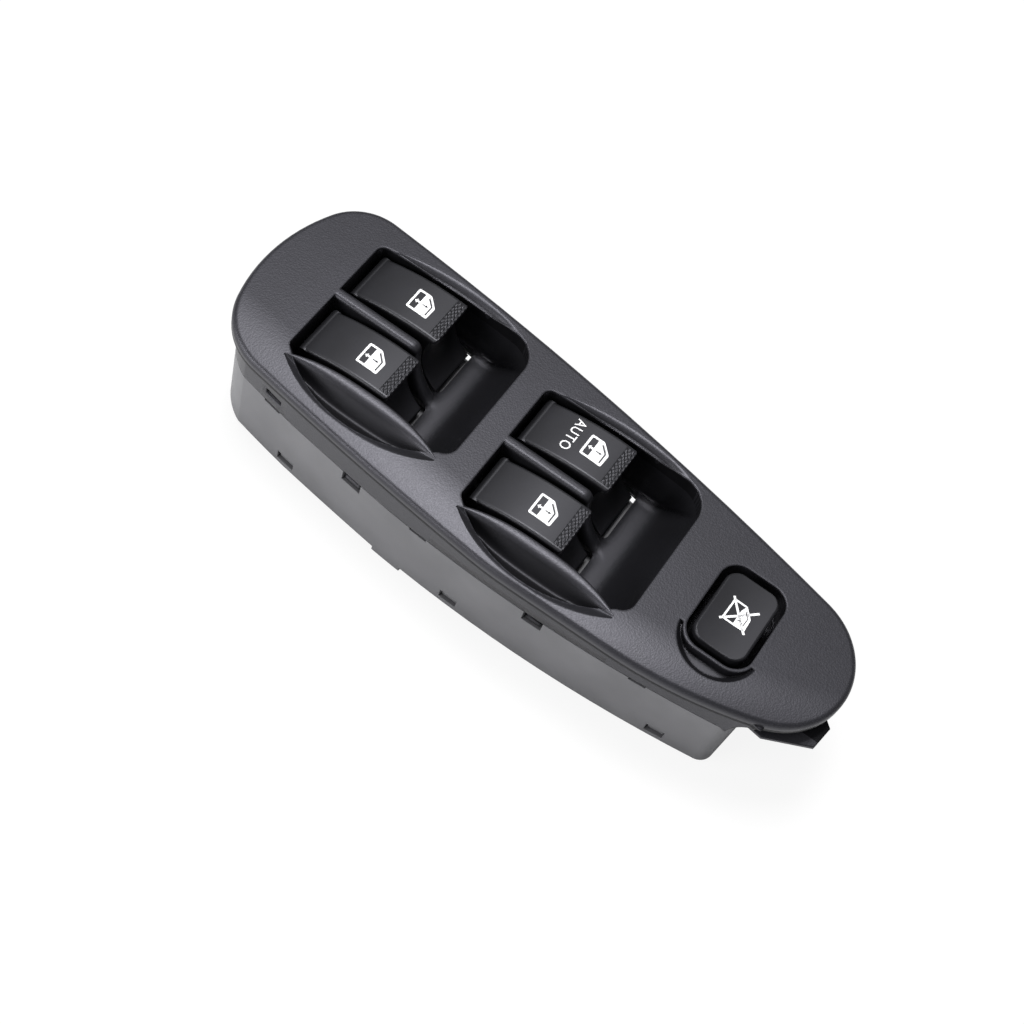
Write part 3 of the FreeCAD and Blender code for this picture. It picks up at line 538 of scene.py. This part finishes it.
def shrunk(corners, inset):
    # every side of a closed outline moves inwards by the same distance
    pts = [Vector(c) for c in corners]
    area = sum(a.x * b.y - b.x * a.y for a, b in zip(pts, pts[1:] + pts[:1]))
    side = 1.0 if area > 0 else -1.0
    out = []
    for i, corner in enumerate(pts):
        d0 = (corner - pts[i - 1]).normalized()
        d1 = (pts[(i + 1) % len(pts)] - corner).normalized()
        n0 = Vector((-d0.y, d0.x)) * side
        n1 = Vector((-d1.y, d1.x)) * side
        mid = (n0 + n1).normalized()
        out.append(tuple(corner + mid * (inset / mid.dot(n0))))
    return out


def stroke(a, b, width):
    a = Vector(a)
    b = Vector(b)
    along = (b - a).normalized()
    side = Vector((-along.y, along.x)) * width / 2
    return [tuple(a + side), tuple(a - side), tuple(b - side), tuple(b + side)]


def printed(name, outlines, place, material, lift):
    # outlines is a list of loops with their holes; each is filled, and the sheet is laid on the surface
    sheet = bmesh.new()
    for loops in outlines:
        flat = [[Vector((x, y, 0.0)) for x, y in loop] for loop in loops]
        corners = [sheet.verts.new(corner) for loop in flat for corner in loop]
        for tri in tessellate_polygon(flat):
            a, b, c = (corners[i].co for i in tri)
            up = (b - a).cross(c - a).z > 0
            sheet.faces.new([corners[i] for i in (tri if up else tri[::-1])])
    mesh = bpy.data.meshes.new(name)
    sheet.to_mesh(mesh)
    sheet.free()
    return laidPrint(name, mesh, place, material, lift)


def laidPrint(name, mesh, place, material, lift):
    # the flat print is cut into narrow strips, so that it can bend with the crown, before it is laid down
    sheet = bmesh.new()
    sheet.from_mesh(mesh)
    across = [corner.co.x for corner in sheet.verts]
    for x in np.arange(min(across) + signs["stripMm"] / 2, max(across), signs["stripMm"]):
        bmesh.ops.bisect_plane(sheet, geom=sheet.verts[:] + sheet.edges[:] + sheet.faces[:],
                               plane_co=(x, 0.0, 0.0), plane_no=(1.0, 0.0, 0.0))
    for corner, spot in zip(sheet.verts, place([corner.co.xy for corner in sheet.verts], lift)):
        corner.co = spot
    sheet.to_mesh(mesh)
    sheet.free()
    mesh.materials.clear()
    mesh.materials.append(material)
    mesh.update()
    thing = bpy.data.objects.new(name, mesh)
    bpy.context.scene.collection.objects.link(thing)
    return thing


signs = {
    "middleX": -63.0,
    "middleY": 1.1,
    "line": 0.72,
    "lift": 0.02,
    "stripMm": 0.5,
    "aside": {"front_left": (1.0, 0.6)},
    "autoX": -8.2,
    "autoY": 0.1,
    "autoHeight": 3.4,
    "autoWidth": 12.4,
    "lockMiddle": (69.3, -2.4),
    "fillX": -1.6,
    "lockLine": 0.6,
}
# a door window with its frame; X runs towards the knob's lip
windowFrame = [(-4.5, -5.0), (3.35, -5.4), (3.55, -0.55), (0.1, 2.95), (-4.5, 3.1)]


def windowSign(name, place):
    outer = rounded(windowFrame, 0.6)
    inner = rounded(shrunk(windowFrame, signs["line"]), 0.3)
    glass = shrunk(windowFrame, signs["line"] * 0.6)
    fillX = signs["fillX"]
    fill = [(fillX, glass[0][1] - 0.1), glass[1], glass[2], glass[3], (fillX, glass[4][1] - 0.05)]
    # the frame, the closed half of the glass, and the white arrow's shaft and head
    white = [[outer, inner], [fill], [stroke((-2.7, -1.3), (-1.4, -1.35), 0.7)],
             [[(-2.5, -0.45), (-3.4, -1.3), (-2.5, -2.15)]]]
    sign = printed(name + "_white", white, place, ink, signs["lift"])
    # the glass's two dark edge lines, and the dark arrow's shaft and head
    dark = [[stroke((0.0, 1.7), (2.42, -0.72), 0.46)], [stroke((2.38, -0.5), (2.36, -4.4), 0.46)],
            [stroke((-0.5, -1.5), (0.9, -1.5), 0.36)], [[(0.7, -1.0), (1.6, -1.5), (0.7, -2.0)]]]
    shade = printed(name + "_dark", dark, place, satinRocker, signs["lift"] * 1.8)
    return [sign, shade]


ink = printInk({"mottleMm": 0.8, "thin": "#e4e4e6", "full": "#f6f6f7"})
seats = [(dx, dy, y) for dx, dy in layout["wells"] for y in layout["rockerRows"]]
for name, seat in zip(layout["rockerNames"], seats):
    aside = signs["aside"].get(name, (0.0, 0.0))
    for piece in windowSign("sign_" + name, lambda pts, lift, seat=seat, aside=aside: onRocker(
            [(x + aside[0], y + aside[1]) for x, y in pts], seat, lift)):
        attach(piece, "rocker_" + name)


def autoWord(seat):
    # the word reads from +Y to -Y, tops of the letters towards +X
    text = bpy.data.curves.new("autoText", "FONT")
    text.body = "AUTO"
    text.align_x = "CENTER"
    text.align_y = "CENTER"
    text.resolution_u = 4
    text.space_character = 1.12
    holder = bpy.data.objects.new("autoText", text)
    bpy.context.scene.collection.objects.link(holder)
    bpy.context.view_layer.update()
    mesh = bpy.data.meshes.new_from_object(holder)
    bpy.data.objects.remove(holder)
    flat = np.empty(len(mesh.vertices) * 3)
    mesh.vertices.foreach_get("co", flat)
    flat = flat.reshape(-1, 3)
    low = flat.min(axis=0)
    high = flat.max(axis=0)
    u = (flat[:, 0] - (low[0] + high[0]) / 2) / (high[0] - low[0]) * signs["autoWidth"]
    v = (flat[:, 1] - (low[1] + high[1]) / 2) / (high[1] - low[1]) * signs["autoHeight"]
    turned = np.stack([v + signs["autoX"], -u + signs["autoY"], np.zeros_like(u)], axis=-1)
    mesh.vertices.foreach_set("co", turned.ravel())
    return laidPrint("word_auto", mesh, lambda pts, lift: onRocker(pts, seat, lift), ink, signs["lift"])


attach(autoWord(seats[3]), "rocker_front_left")

lockFrame = [(-3.7, -3.8), (4.1, -3.8), (3.9, 0.8), (1.0, 4.2), (-3.5, 4.2)]


def lockSign():
    outer = rounded(lockFrame, 0.5)
    inner = rounded(shrunk(lockFrame, signs["lockLine"]), 0.3)
    # the frame, the two strokes that cross it out, and the closed part of the glass
    white = [[outer, inner], [stroke((-4.2, -4.3), (5.0, 4.3), 0.75)],
             [stroke((-4.0, 4.7), (4.5, -4.6), 0.75)],
             [[(0.1, -3.4), (3.6, -3.4), (3.5, 0.7), (0.8, 3.8), (0.1, 1.8)]]]
    dark = [[stroke((1.4, 2.4), (3.0, 0.6), 0.26)], [stroke((3.0, 0.6), (2.9, -2.2), 0.26)],
            [stroke((0.7, -1.6), (1.7, -1.2), 0.3)]]
    return [printed("sign_lock_white", white, onLock, ink, signs["lift"]),
            printed("sign_lock_dark", dark, onLock, satinRocker, signs["lift"] * 1.8)]


for piece in lockSign():
    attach(piece, "lock_button")
print("stage: printed signs")

# finger grip on each rocker's lip
grip = {
    "startX": -55.9,
    "edgeX": -52.42,
    "half": 8.0,
    "drop": 1.7,
    "pitch": 1.9,
    "slant": 1.51,
    "height": 0.42,
    "stepMm": 0.085,
    "gap": 0.45,
}


def gripBand(name, seat):
    # s runs along the top and over the edge, t across; slanted ridges 0.8 |tri(slant s + t)| are crossed
    # by weaker ones 0.3 |tri(slant s - t)|, cut to nothing at the band's ends and in a groove at the edge
    dx, dy, rowY = seat
    run = grip["edgeX"] - grip["startX"]
    s = np.arange(0.0, run + grip["drop"] + 1e-6, grip["stepMm"])
    t = np.arange(-grip["half"], grip["half"] + 1e-6, grip["stepMm"])
    gridS, gridT = np.meshgrid(s, t, indexing="ij")

    def tri(v):
        return np.abs((v / grip["pitch"]) % 1.0 - 0.5) * 2.0

    ends = np.clip(np.minimum(gridS, s[-1] - gridS) / 0.3, 0.0, 1.0)
    ends = ends * np.clip((grip["half"] - np.abs(gridT)) / 0.3, 0.0, 1.0)
    ends = ends * np.clip((np.abs(gridS - run + grip["gap"]) - 0.12) / 0.2, 0.0, 1.0)
    ridges = 0.8 * tri(grip["slant"] * gridS + gridT) + 0.3 * tri(grip["slant"] * gridS - gridT)
    raised = grip["height"] * np.minimum(ridges, 1.0) * ends
    onTop = gridS <= run
    topX = np.minimum(grip["startX"] + gridS, grip["edgeX"])
    x = np.where(onTop, topX, grip["edgeX"] + 0.02 + raised * 0.6) + dx
    z = np.where(onTop, rockerTop(topX) - 0.01 + raised, rockerTop(grip["edgeX"]) - (gridS - run))
    y = gridT + rowY + dy
    points = np.stack([x, y, z], axis=-1).reshape(-1, 3) * mm
    return meshObject(name, points.tolist(), gridFaces(*gridS.shape), satinRocker, True)


for name, seat in zip(layout["rockerNames"], seats):
    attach(gripBand("grip_" + name, seat), "rocker_" + name)
print("stage: grip bands")

# near lip and finger dish of each well
dishShape = {
    "lipX": -57.6,
    "lipHalf": 28.9,
    "lipEnds": -16.2,
    "lipBulge": 5.6,
    "lipRound": 0.9,
    "rimX": -56.0,
    "rimEnds": -15.5,
    "rimBow": 9.3,
    "depth": 4.7,
    "lean": 1.3,
    "wallFoot": -18.65,
    "backPart": 0.94,
    "frontPart": 0.985,
    "rows": 260,
    "clear": 0.03,
}
# the solid's own dish, as crescents: height, chord, bow, first x, last x
solidCrescents = (
    (3.8, -11.8, 12.1, -85.7, -27.8),
    (1.4, -11.8, 10.8, -84.1, -29.4),
    (1.4, -14.6, 8.5, -82.8, -31.2),
    (-0.1, -15.3, 7.0, -80.4, -33.6),
    (-1.6, -16.8, 4.2, -74.4, -39.6),
)


def crescentEdge(x, crescent):
    # y of the arc through both ends and the crown
    level, chord, bow, x0, x1 = crescent
    half = (x1 - x0) / 2
    radius = (half * half + bow * bow) / (2 * bow)
    away = np.minimum(np.abs(x - (x0 + x1) / 2), half)
    return chord - np.maximum(np.sqrt(radius * radius - away * away) - (radius - bow), 0.0)


def solidTop(x, y):
    # how high the solid stands: its face, the slope into the dish, and the dish's three floors
    outer, slopeFoot = crescentEdge(x, solidCrescents[0]), crescentEdge(x, solidCrescents[1])
    part = np.clip((slopeFoot - y) / np.maximum(slopeFoot - outer, 0.05), 0.0, 1.0)
    ledge = solidCrescents[1][0]
    z = ledge + (layout["bezelTop"] - ledge) * part
    for crescent in solidCrescents[2:]:
        z = np.where((y > crescentEdge(x, crescent)) & (y < crescent[1]), np.minimum(z, crescent[0]), z)
    return z


def fingerDish(name, shift):
    # u is |x - middle| / half; lip y = ends + bulge (1 - u^2.6), rim y = ends - bow (1 - u^2.4); between
    # them t runs 0 to 1 and z = top - depth (1 - u^4) (1 - cos(2 pi t^lean)) / 2. Where the solid stands
    # higher the sheet lies on it, and its normals follow the formula all the same
    d = dishShape
    top = layout["bezelTop"] + d["clear"]
    x = np.linspace(d["lipX"] - d["lipHalf"] * d["backPart"], d["lipX"] + d["lipHalf"] * d["frontPart"],
                    d["rows"])[:, None]
    u = np.abs(x - d["lipX"]) / d["lipHalf"]
    v = np.minimum(np.abs(x - d["rimX"]) / d["lipHalf"], 1.0)
    lipY = d["lipEnds"] + d["lipBulge"] * (1.0 - u ** 2.6)
    rimY = np.minimum(d["rimEnds"] - d["rimBow"] * (1.0 - v ** 2.4), lipY - 0.6)
    t = np.linspace(1.0, 0.0, 61)[None, :]
    sheetY = lipY + (rimY - lipY) * t
    fall = (1.0 - np.cos(2.0 * math.pi * t ** d["lean"])) / 2.0
    sheetZ = top - d["depth"] * (1.0 - u ** 4.0) * fall
    bend = np.linspace(0.0, math.pi / 2, 7)[None, 1:]
    bendY = lipY + d["lipRound"] * np.sin(bend)
    bendZ = top - d["lipRound"] * (1.0 - np.cos(bend)) + 0.0 * lipY
    y = np.concatenate([sheetY, bendY, lipY + d["lipRound"]], axis=1)
    trueZ = np.concatenate([sheetZ, bendZ, np.full_like(lipY, d["wallFoot"])], axis=1)
    shownZ = trueZ.copy()
    columns = t.shape[1]
    shownZ[:, :columns] = np.maximum(sheetZ, solidTop(x, sheetY) + d["clear"])
    return mouldedSheet(name, x, y, trueZ, shownZ, shift)


def mouldedSheet(name, x, y, trueZ, shownZ, shift):
    # rows run to +X and columns to +Y; the normals are the true form's, dx cross dy at each corner
    gridX = np.repeat(x, y.shape[1], axis=1)
    points = np.stack([gridX + shift[0], y + shift[1], shownZ], axis=-1).reshape(-1, 3) * mm
    piece = meshObject(name, points.tolist(), gridFaces(*y.shape), dishShadedPlastic, True)
    true = np.stack([gridX, y, trueZ], axis=-1)
    normals = np.cross(np.gradient(true, axis=0), np.gradient(true, axis=1))
    normals = normals / np.linalg.norm(normals, axis=-1, keepdims=True)
    piece.data.normals_split_custom_set_from_vertices(normals.reshape(-1, 3).tolist())
    return piece


# rounded far lip of each well
farLip = {
    "middleX": -56.0,
    "half": 28.9,
    "wallY": 36.4,
    "wallBow": 1.9,
    "wallHalf": 30.0,
    "rimY": 36.0,
    "rimBow": 5.5,
    "fall": 0.55,
    "round": 0.5,
    "foot": -2.0,
    "easeFrom": -33.5,
    "easeOver": 10.0,
    "past": 0.4,
    "rows": 160,
}
# the well's two far corners: middle x, middle y, radius, and the way they lie
farCorners = ((-83.0, 33.73, 3.0, -1.0), (-36.0, 27.43, 10.0, 1.0))


def wellFarLip(name, shift):
    # wall y = wallY + wallBow (1 - v^2), cut back by the corners' circles; rim y = rimY + rimBow (1 - u^2);
    # between them z = top - fall (rim y - wall y) (1 - t)^2, and a quarter round turns down into the wall
    d = farLip
    top = layout["bezelTop"] + dishShape["clear"]
    x = np.linspace(d["middleX"] - d["half"], d["middleX"] + d["half"], d["rows"])[:, None]
    u = (x - d["middleX"]) / d["half"]
    v = (x - d["middleX"]) / d["wallHalf"]
    wall = d["wallY"] + d["wallBow"] * (1.0 - v * v)
    for cx, cy, radius, way in farCorners:
        past = np.maximum((x - cx) * way, 0.0)
        circle = cy + np.sqrt(np.maximum(radius ** 2 - past ** 2, 0.0))
        wall = np.where(past > 0.0, np.minimum(wall, circle), wall)
    rim = np.maximum(d["rimY"] + d["rimBow"] * (1.0 - u * u), wall + d["round"] + 0.2)
    # the fall eases out before the front corner, by 3 e^2 - 2 e^3
    ease = np.clip((d["easeFrom"] - x) / d["easeOver"], 0.0, 1.0)
    deep = d["fall"] * (rim - wall) * ease * ease * (3.0 - 2.0 * ease)
    t = np.linspace(0.0, 1.0, 17)[None, :]
    slopeY = wall + d["round"] + (rim - wall - d["round"]) * t
    slopeZ = top - deep * (1.0 - t) ** 2
    bend = np.linspace(math.pi / 2, 0.0, 7)[None, :-1]
    bendY = wall + d["round"] - (d["round"] + 0.02) * np.sin(bend)
    bendZ = top - deep - d["round"] * (1.0 - np.cos(bend))
    y = np.concatenate([wall - 0.02, bendY, slopeY, rim + d["past"]], axis=1)
    z = np.concatenate([np.full_like(wall, d["foot"]), bendZ, slopeZ, np.full_like(wall, top)], axis=1)
    return mouldedSheet(name, x, y, z, z, shift)


for name, shift in zip(("rear", "front"), layout["wells"]):
    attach(fingerDish("finger_dish_" + name, shift), "panel")
    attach(wellFarLip("far_lip_" + name, shift), "panel")
print("stage: finger dishes and far lips")

# coil springs, in place of their sleeves
coils = {
    "plunger": {"radius": 1.65, "wire": 0.21, "low": -11.94, "high": 0.74, "turns": 8,
                "travel": 0.8, "held": 0.74},
    "lock": {"radius": 2.1, "wire": 0.28, "low": -20.18, "high": 2.13, "turns": 11,
             "travel": 2.5, "held": -20.18},
}


def coil(name, values, x, y):
    # the wire's middle runs (r cos a, r sin a, rise); the ends close up because the rise eases in and out
    around = 10
    along = values["turns"] * 20
    t = np.linspace(0.0, 1.0, along + 1)
    angle = t * values["turns"] * 2.0 * math.pi
    rise = t - np.sin(2.0 * math.pi * t) * 0.05
    low = values["low"] + values["wire"]
    high = values["high"] - values["wire"]
    z = low + (high - low) * rise
    phi = np.linspace(0.0, 2.0 * math.pi, around, endpoint=False)
    out = values["radius"] + values["wire"] * np.cos(phi)[None, :]
    points = np.stack([x + out * np.cos(angle)[:, None], y + out * np.sin(angle)[:, None],
                       z[:, None] + values["wire"] * np.sin(phi)[None, :]], axis=-1).reshape(-1, 3) * mm
    i, j = np.meshgrid(np.arange(along), np.arange(around), indexing="ij")
    a = (i * around + j).ravel()
    b = (i * around + (j + 1) % around).ravel()
    faces = np.stack([a, a + around, b + around, b], axis=-1).tolist()
    faces.append(list(range(around)))
    faces.append(list(range(along * around + around - 1, along * around - 1, -1)))
    return meshObject(name, points.tolist(), faces, springWire)


def shorten(piece, values, joint, x, y):
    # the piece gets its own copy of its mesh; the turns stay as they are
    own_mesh(piece)


for name, (dx, dy, rowY) in zip(layout["rockerNames"], seats):
    piece = coil("coil_" + name, coils["plunger"], layout["pivotX"] + dx, rowY + dy)
    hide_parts("plunger_spring_" + name)
    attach(piece, "rocker_" + name)
    shorten(piece, coils["plunger"], "plunger_" + name + "_slide", layout["pivotX"] + dx, rowY + dy)
piece = coil("coil_lock", coils["lock"], *layout["lockCentre"])
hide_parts("lock_spring")
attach(piece, "panel")
shorten(piece, coils["lock"], "lock_button_press", *layout["lockCentre"])
print("stage: springs")
